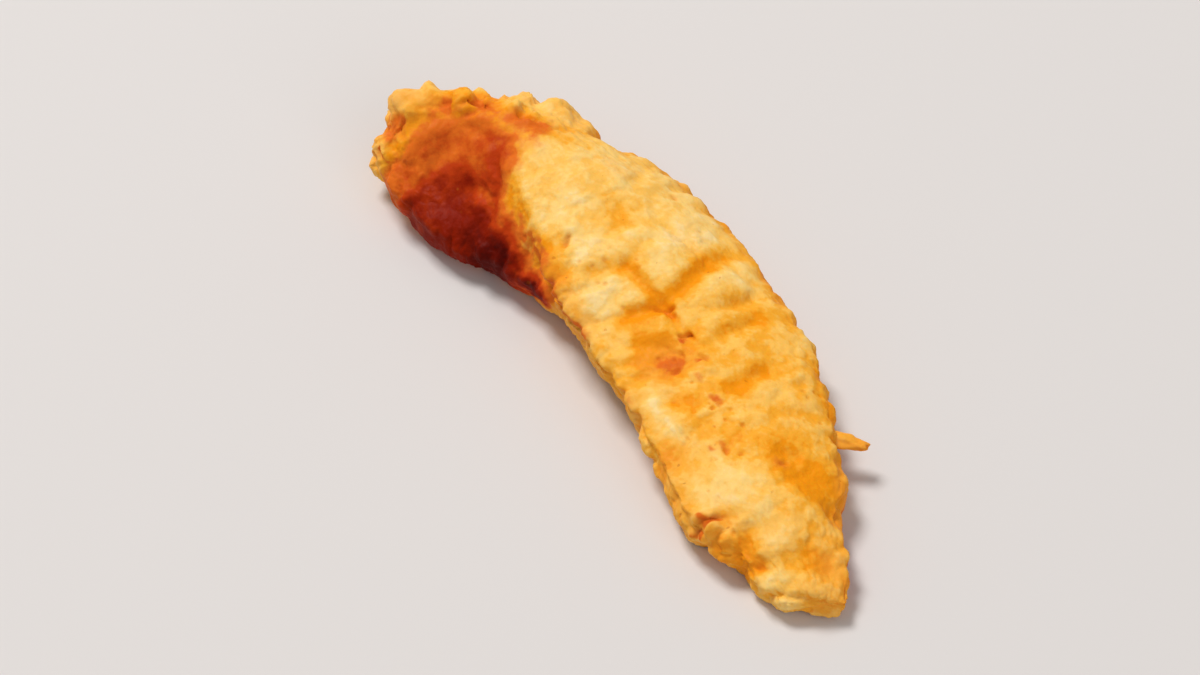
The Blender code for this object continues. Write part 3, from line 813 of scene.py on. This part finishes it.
def raised(grid, relief):
    """The grid with each point moved out by the relief, and each end ring drawn into one point."""
    grid = grid + grid_normals(grid) * relief.reshape(*grid.shape[:2], 1)
    grid[0] = grid[0].mean(axis=0)
    grid[-1] = grid[-1].mean(axis=0)
    return grid


def rough_share(points, length):
    """Where the crust is coarse: the ragged places, the rims and the tip, and patches elsewhere."""
    patches = rising(ROUGH_PATCHES, ripple(bend(points) / BUBBLE_PATCH, SEED + 31)[:, 0])
    rims = rising(ROUGH_RIMS, np.abs(across_share(points, length)))
    tip = rising(ROUGH_TIP, points[:, 0] / length)
    return np.maximum.reduce([ragged_share(points, length), rims, tip, patches])


def fine_relief(points, normals, length):
    """The relief that is too fine for the solid."""
    bent = bend(points)
    moved = bent + waves(bent, SOFT_DRIFT, SEED + 20)
    rough = rough_share(points, length)
    patchy = ripple(bent / BUBBLE_PATCH, SEED + 21)
    bubbly = at_least(THIN_BUBBLES, smooth(*BUBBLE_EDGE, patchy[:, 0]))
    beaded = at_least(THIN_BEADS, smooth(*BEAD_EDGE, patchy[:, 1]))
    crinkled = sum(crinkles(moved, sizes, SEED + 22 + k) for k, sizes in enumerate(CRINKLES))
    grain = sum(waves(bent, sizes, SEED + 26 + k)[:, 0] for k, sizes in enumerate(GRAIN))
    height = (
        bubbly * cells(moved, BUBBLES, SEED + 23)
        + rough * cells(moved, NODULES, SEED + 24)
        + beaded * cells(moved, BEADS, SEED + 28)
        + at_least(THIN_CRINKLES, rough) * crinkled
        + grain
        - PORE_DEPTH * pore_share(points, length) * pores(bent, SEED + 33)
    )
    return height + smooth(*UPPER_EDGE, normals[:, 2]) * marks(wandered(points), length, CRACKS)


def pore_share(points, length):
    """Where the crust is full of pores."""
    spread = rising(PORE_SPREAD, ripple(bend(points) / PORE_PATCH, SEED + 32)[:, 0])
    return np.clip(spread + marks(wandered(points), length, PORE_SPOTS), 0, 1)


def wall_brown_and_shade(points, moved, length, reach=0.0):
    """How brown the inner wall is, by share of the length and by distance past the ridge; its dark
    lower part is partly painted shadow.

    With a reach, the brown starts that much farther up the face.
    """
    share = moved[:, 0] / length
    past = moved[:, 1] - section_sizes(points[:, 0], length)[:, RIDGE_COLUMN] - reach
    places, *columns = np.array(WALL).T
    start, full, band, dark_start, dark_full, dark = (np.interp(share, places, c) for c in columns)
    return band * smooth(start, full, past) + (dark - band) * smooth(dark_start, dark_full, past)


def tint_patches(points):
    """Broad random patches that the tone and the stray brown share, from -1 to 1."""
    return ripple(bend(points) / TONE_PATCH, SEED + 43)


def crust_tone(points, moved, normals, relief, fine, length):
    """How pale the crust is, from 0 for amber creases to 1 for cream tops, partly painted shade in
    the hollows and painted light on the tops.
    """
    upper = smooth(*UPPER_EDGE, normals[:, 2])
    # Cream spots, partly painted highlights, less the amber spots
    spotted = marks(moved, length, CREAM_AND_HIGHLIGHT_SPOTS) - marks(moved, length, AMBER_SPOTS)
    fringe = wall_brown_and_shade(points, moved, length, FRINGE_REACH)
    fringe = fringe * smooth(*FRINGE_SHARES, moved[:, 0] / length)
    return (
        TONE_LOW
        # Paler on the tops and darker in the creases: partly the crust's own colour, partly painted
        # light and shade
        + TONE_RELIEF * smooth(*TONE_HEIGHTS, relief)
        # Painted shade in the fine hollows and painted light on the fine tops
        + FINE_PAINTED_SHADING * (smooth(*FINE_HEIGHTS, fine) - 0.5)
        + TONE_PATCHES * tint_patches(points)[:, 1]
        + TONE_SPOTS * spotted * upper
        - TONE_SIDES * (1 - smooth(*SIDES_FROM, normals[:, 2]))
        - TONE_RAGGED * ragged_share(points, length)
        - WALL_FRINGE * fringe
        - rising(TONE_RIMS, np.abs(across_share(moved, length)))
    )


def crust_brown_and_shade(points, moved, normals, relief, length):
    """How brown the crust is: the wall, its dark part partly painted shadow, stray patches, creases
    in ragged places, partly painted shade, and spots.
    """
    upper = smooth(*UPPER_EDGE, normals[:, 2])
    mottle = ripple(bend(points) / WALL_PATCH, SEED + 44)[:, 0]
    # The wall's brown, with painted shadow in its dark lower part
    wall = wall_brown_and_shade(points, moved, length) * smooth(*WALL_UNDER, normals[:, 2])
    wall = wall * (1 + WALL_MOTTLE * mottle)
    hidden = 1 - smooth(*STRAY_SIDES, normals[:, 2])
    stray = rising(STRAY_BROWN, tint_patches(points)[:, 0]) * hidden
    ragged = ragged_share(points, length)
    # Brown in the ragged creases, deeper where they are lower: partly browner crust, partly painted
    # shade
    creased = RAGGED_CREASES * ragged * (1 - smooth(*CREASE_HEIGHTS, relief)) * upper
    spotted = marks(moved, length, BROWN_SPOTS) * upper * (1 - wall)
    return np.maximum(wall, stray) + creased + spotted


def pit_share(points, normals, length):
    """Where the crust is dark at the bottom of pores and cracks, partly browner crust and partly
    painted shade.
    """
    pitted = pore_share(points, length) * pores(bend(points), SEED + 33)
    cracks = np.clip(-marks(wandered(points), length, CRACKS) / CRACK_DEPTH, 0, 1)
    return np.maximum(pitted, cracks * smooth(*UPPER_EDGE, normals[:, 2]))


def tints(points, normals, relief, fine, length):
    """Named shares from 0 to 1 for each point, which the material paints by."""
    bent = bend(points)
    moved = wandered(points) + waves(bent, TINT_DRIFT, SEED + 40)
    moved = moved + waves(bent, FINE_DRIFT, SEED + 41)
    found = {
        "tone": crust_tone(points, moved, normals, relief, fine, length),
        "browned_and_shade": crust_brown_and_shade(points, moved, normals, relief, length),
        "pit": pit_share(points, normals, length),
        "rough": rough_share(points, length),
    }
    return {name: np.clip(value, 0, 1) for name, value in found.items()}


def loft_faces(rings, ring_points):
    """Triangles at both ends and quads between them; each end ring is one point."""
    last = 1 + (rings - 2) * ring_points
    faces = []
    for k in range(ring_points):
        after = (k + 1) % ring_points
        faces.append((0, 1 + k, 1 + after))
        for start in range(1, last - ring_points, ring_points):
            below = start + ring_points
            faces.append((start + k, below + k, below + after, start + after))
        faces.append((last, last - ring_points + after, last - ring_points + k))
    return faces


def one_end_points(values):
    """The grid's values in one list, with one point for each end ring."""
    flat = values.reshape(RINGS * RING_POINTS, -1)
    return np.concatenate([flat[:1], flat[RING_POINTS:-RING_POINTS], flat[-1:]])


def flake(grid):
    """Points and faces of a rough shard of batter with its foot sunk in the crust."""
    row = int(np.argmin(np.abs(grid[:, 0, 0] - FLAKE_PLACE * grid[-1, 0, 0])))
    ring = grid[row]
    rim = ring[np.argmax(ring[:, 1])]
    k = int(np.argmin(np.abs(ring[:, 1] - rim[1]) + np.abs(ring[:, 2] - FLAKE_LEVEL * rim[2])))
    ball = bmesh.new()
    bmesh.ops.create_icosphere(ball, subdivisions=FLAKE_SPLITS, radius=0.5)
    corners = np.array([vert.co for vert in ball.verts])
    faces = [tuple(vert.index for vert in face.verts) for face in ball.faces]
    ball.free()
    rough = ripple(corners / FLAKE_ROUGH_PITCH, SEED + 11)[:, :1]
    taper = 1 - FLAKE_TAPER * np.clip(0.5 + corners[:, 2:], 0, 1) * (1, 1, 0)
    corners = corners * taper * (1 + FLAKE_ROUGHNESS * rough) * FLAKE_SIZE
    corners = corners + waves(corners, FLAKE_GRAIN, SEED + 12)
    out = Vector(grid_normals(grid)[row, k])
    reach = (out + FLAKE_LEAN * Vector((1, 0, 0))).normalized()
    flat = Vector((0, 0, 1)).cross(reach).normalized()
    turn = Matrix((flat.cross(reach), flat, reach)).transposed()
    foot = Vector(ring[k]) + reach * FLAKE_SIZE[2] * (0.5 - FLAKE_SUNK)
    return np.array([turn @ Vector(corner) + foot for corner in corners]), faces


def mesh_object(name, points, faces, shares):
    """A smooth mesh with one point attribute for each named share."""
    mesh = bpy.data.meshes.new(name)
    mesh.from_pydata(points.tolist(), [], faces)
    for share, values in shares.items():
        made = mesh.attributes.new(share, "FLOAT", "POINT")
        made.data.foreach_set("value", values.astype(np.float32))
    mesh.shade_smooth()
    obj = bpy.data.objects.new(name, mesh)
    bpy.context.scene.collection.objects.link(obj)
    return obj


def flake_shares(points, crust_points, shares):
    """The flake's shares: those of the crust's nearest points, with a more even tone."""
    near = nearest(points, crust_points)
    found = {name: values[near] for name, values in shares.items()}
    found["tone"] = FLAKE_PALE + FLAKE_TONE * found["tone"]
    return found


def fitted(parts):
    """The parts' points where the solid is and inside its box."""
    low, high = (np.array(corner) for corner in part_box(NODE))
    both = np.concatenate(parts)
    shift = (low + high - both.min(axis=0) - both.max(axis=0)) / 2 * (1, 1, 0)
    return [np.clip(part + shift, low + BOX_SLACK, high - BOX_SLACK) for part in parts]


def build_crust():
    """The crust and its flake."""
    length = spine_table()[1][-1]
    bare = straight_body(RINGS, RING_POINTS, length)
    places = bare.reshape(-1, 3)
    relief = crust_relief(places, grid_normals(bare).reshape(-1, 3), length)
    grid = raised(bare, relief)
    normals = grid_normals(grid).reshape(-1, 3)
    calm = smooth(0, END_CALM, end_share(ring_places(length, RINGS), length)).repeat(RING_POINTS)
    fine = calm * fine_relief(places, normals, length)
    points = bend(one_end_points(raised(grid, fine)))
    shares = tints(places, normals, relief, fine, length)
    shard_points, shard_faces = flake(grid)
    shard_shares = flake_shares(shard_points, grid.reshape(-1, 3), shares)
    shares = {name: one_end_points(values)[:, 0] for name, values in shares.items()}
    points, shard_points = fitted([points, bend(shard_points)])
    crust = mesh_object("crust", points, loft_faces(RINGS, RING_POINTS), shares)
    shard = mesh_object("flake", shard_points, shard_faces, shard_shares)
    return crust, shard


def nearest(points, others):
    """The index of the other point nearest to each point."""
    tree = KDTree(len(others))
    for index, other in enumerate(others.tolist()):
        tree.insert(other, index)
    tree.balance()
    return np.array([tree.find(point)[1] for point in points.tolist()])


def linear(colour):
    """A colour from 0 to 255 as the shader's linear values."""
    share = np.array(colour) / 255
    values = np.where(share <= 0.04045, share / 12.92, ((share + 0.055) / 1.055) ** 2.4)
    return (*values.tolist(), 1.0)


def add(tree, kind, inputs=(), **settings):
    """A shader node with its settings, its inputs set or linked by name or number."""
    node = tree.nodes.new(kind)
    for name, value in settings.items():
        setattr(node, name, value)
    for socket, value in dict(inputs).items():
        if isinstance(value, bpy.types.NodeSocket):
            tree.links.new(value, node.inputs[socket])
        else:
            node.inputs[socket].default_value = value
    return node


def noise(tree, size, detail, offset):
    """Noise from 0 to 1 whose features are about this size in metres."""
    place = add(tree, "ShaderNodeTexCoord").outputs["Object"]
    shift = add(tree, "ShaderNodeVectorMath", {0: place, 1: (offset,) * 3}, operation="ADD")
    inputs = {
        "Vector": shift.outputs[0],
        "Scale": 1 / size,
        "Detail": detail,
        "Roughness": NOISE_ROUGHNESS,
    }
    return add(tree, "ShaderNodeTexNoise", inputs).outputs["Fac"]


def calc(tree, operation, a, b):
    """A sum or product of two values."""
    return add(tree, "ShaderNodeMath", {0: a, 1: b}, operation=operation).outputs[0]


def span(tree, value, low, high, to_low=0.0, to_high=1.0):
    """The value eased from to_low at low to to_high at high."""
    inputs = {
        "Value": value,
        "From Min": low,
        "From Max": high,
        "To Min": to_low,
        "To Max": to_high,
    }
    node = add(tree, "ShaderNodeMapRange", inputs, interpolation_type="SMOOTHSTEP")
    return node.outputs["Result"]


def swung(tree, value, noises, swings):
    """The value with each noise added, as far as its swing either way."""
    for pattern, swing in zip(noises, swings):
        value = calc(tree, "ADD", value, span(tree, pattern, *SWING_SPAN, -swing, swing))
    return value


def mixed(tree, share, below, above):
    """One colour over another by a share."""
    inputs = dict(zip(MIX_INPUTS, (share, below, above)))
    return add(tree, "ShaderNodeMix", inputs, data_type="RGBA").outputs[MIX_OUTPUT]


def mask(tree, name):
    """A named share of the mesh's points."""
    return add(tree, "ShaderNodeAttribute", attribute_name=name).outputs["Fac"]


def ramp(tree, share, stops):
    """A colour that runs smoothly through the stops by a share."""
    node = add(tree, "ShaderNodeValToRGB", {"Fac": share})
    line = node.color_ramp
    line.interpolation = "EASE"
    for _ in stops[2:]:
        line.elements.new(0.5)
    for element, (at, colour) in zip(line.elements, stops):
        element.position = at
        element.color = linear(colour)
    return node.outputs["Color"]


def batter_colour(tree, mottle, grain, dust):
    """Gold with cream tops and amber creases, brown to maroon in places, with dark pits; the tops'
    cream and the creases' amber are partly painted light and shade, the wall's maroon partly
    painted shadow and the pits partly painted shade.
    """
    broad = noise(tree, *BROAD_NOISE)
    fleck = noise(tree, *FLECK_NOISE)
    tone = swung(tree, mask(tree, "tone"), (mottle, grain, dust), TONE_SWINGS)
    colour = ramp(tree, tone, TONES)
    peachy = calc(tree, "MULTIPLY", mask(tree, "rough"), span(tree, broad, *PEACH_SPAN))
    colour = mixed(tree, peachy, colour, linear(PEACH))
    level = swung(tree, mask(tree, "browned_and_shade"), (mottle, grain), BROWN_SWINGS)
    # Brown crust over the tone, its darkest partly painted shadow and painted shade
    colour = mixed(tree, span(tree, level, *BROWN_COVER), colour, ramp(tree, level, BROWNS_AND_SHADE))
    # Dark pits and cracks, partly browner crust and partly painted shade
    pitted = calc(tree, "MULTIPLY", mask(tree, "pit"), PIT_STRENGTH)
    colour = mixed(tree, pitted, colour, linear(PIT))
    patches = span(tree, broad, *SPECK_PATCHES)
    specks = calc(tree, "MULTIPLY", span(tree, fleck, *SPECK_SPAN), patches)
    return mixed(tree, calc(tree, "MULTIPLY", specks, SPECK_STRENGTH), colour, linear(SPECK))


def batter_material():
    """Fried batter, matt with a little subsurface glow and a fine grain."""
    material = bpy.data.materials.new("fried_batter")
    material.use_nodes = True
    tree = material.node_tree
    mottle = noise(tree, *MOTTLE_NOISE)
    grain = noise(tree, *GRAIN_NOISE)
    dust = noise(tree, *DUST_NOISE)
    dusty = calc(tree, "MULTIPLY", dust, BUMP_DUST)
    inputs = {
        "Height": calc(tree, "ADD", noise(tree, *BUMP_NOISE), dusty),
        "Strength": BUMP_STRENGTH,
        "Distance": BUMP_HEIGHT,
    }
    bump = add(tree, "ShaderNodeBump", inputs)
    shader = tree.nodes["Principled BSDF"]
    tree.links.new(batter_colour(tree, mottle, grain, dust), shader.inputs["Base Color"])
    tree.links.new(span(tree, mottle, *ROUGHNESS_SPAN), shader.inputs["Roughness"])
    tree.links.new(bump.outputs["Normal"], shader.inputs["Normal"])
    set_sockets(shader, BATTER_FINISH)
    return material


def set_sockets(shader, values):
    """Sets the shader's own sockets, by name."""
    for name, value in values.items():
        shader.inputs[name].default_value = value


def plain_floor():
    """A plain pale floor under the tender."""
    sides = ((-1, -1), (1, -1), (1, 1), (-1, 1))
    corners = np.array([(FLOOR_HALF * x, FLOOR_HALF * y, -FLOOR_DROP) for x, y in sides])
    floor = mesh_object("floor", corners, [(0, 1, 2, 3)], {})
    material = bpy.data.materials.new("pale_floor")
    material.use_nodes = True
    shader = material.node_tree.nodes["Principled BSDF"]
    set_sockets(shader, {"Base Color": linear(FLOOR), **FLOOR_FINISH})
    floor.data.materials.append(material)


def view_axes():
    """Unit vectors to the camera, to its right and up its picture, and level away from it."""
    a, e = math.radians(AZIMUTH), math.radians(ELEVATION)
    back = Vector((math.sin(a) * math.cos(e), -math.cos(a) * math.cos(e), math.sin(e)))
    right = Vector((math.cos(a), math.sin(a), 0))
    return back, right, back.cross(right), Vector((-math.sin(a), math.cos(a), 0))


def aimed(obj, target):
    """Turns a camera or light at its place towards the target."""
    obj.rotation_mode = "QUATERNION"
    obj.rotation_quaternion = (target - obj.location).to_track_quat("-Z", "Y")


def add_camera(piece):
    """A long lens at the photograph's angle, with the piece in the middle of the picture."""
    back, right, up, _ = view_axes()
    points = [vert.co for vert in piece.data.vertices]
    middle = Vector((0, 0, 0))
    for axis in (back, right, up):
        along = [point.dot(axis) for point in points]
        middle += axis * (min(along) + max(along)) / 2
    data = bpy.data.cameras.new("camera")
    data.lens = LENS
    camera = bpy.data.objects.new("camera", data)
    bpy.context.scene.collection.objects.link(camera)
    camera.location = middle + back * DISTANCE
    aimed(camera, middle)
    bpy.context.scene.camera = camera


def add_panel(name, place, side, power):
    """A square soft light, placed by the camera's right, away and up."""
    _, right, _, away = view_axes()
    data = bpy.data.lights.new(name, "AREA")
    data.size = side
    data.energy = power
    panel = bpy.data.objects.new(name, data)
    bpy.context.scene.collection.objects.link(panel)
    panel.location = right * place[0] + away * place[1] + Vector((0, 0, place[2]))
    aimed(panel, Vector((0, 0, 0)))


def add_light():
    """The two panels and the pale surroundings, with colours shown as they are."""
    add_panel("key", *KEY)
    add_panel("fill", *FILL)
    world = bpy.data.worlds.new("studio")
    bpy.context.scene.world = world
    world.use_nodes = True
    ground = world.node_tree.nodes["Background"]
    ground.inputs["Color"].default_value = WORLD
    ground.inputs["Strength"].default_value = WORLD_STRENGTH
    bpy.context.scene.view_settings.view_transform = "Standard"


def main():
    """Builds the pieces, the stage, the camera and the light."""
    crust, shard = build_crust()
    batter = batter_material()
    for piece in (crust, shard):
        piece.data.materials.append(batter)
        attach(piece, "root")
        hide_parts(NODE)
    plain_floor()
    add_camera(crust)
    add_light()


main()
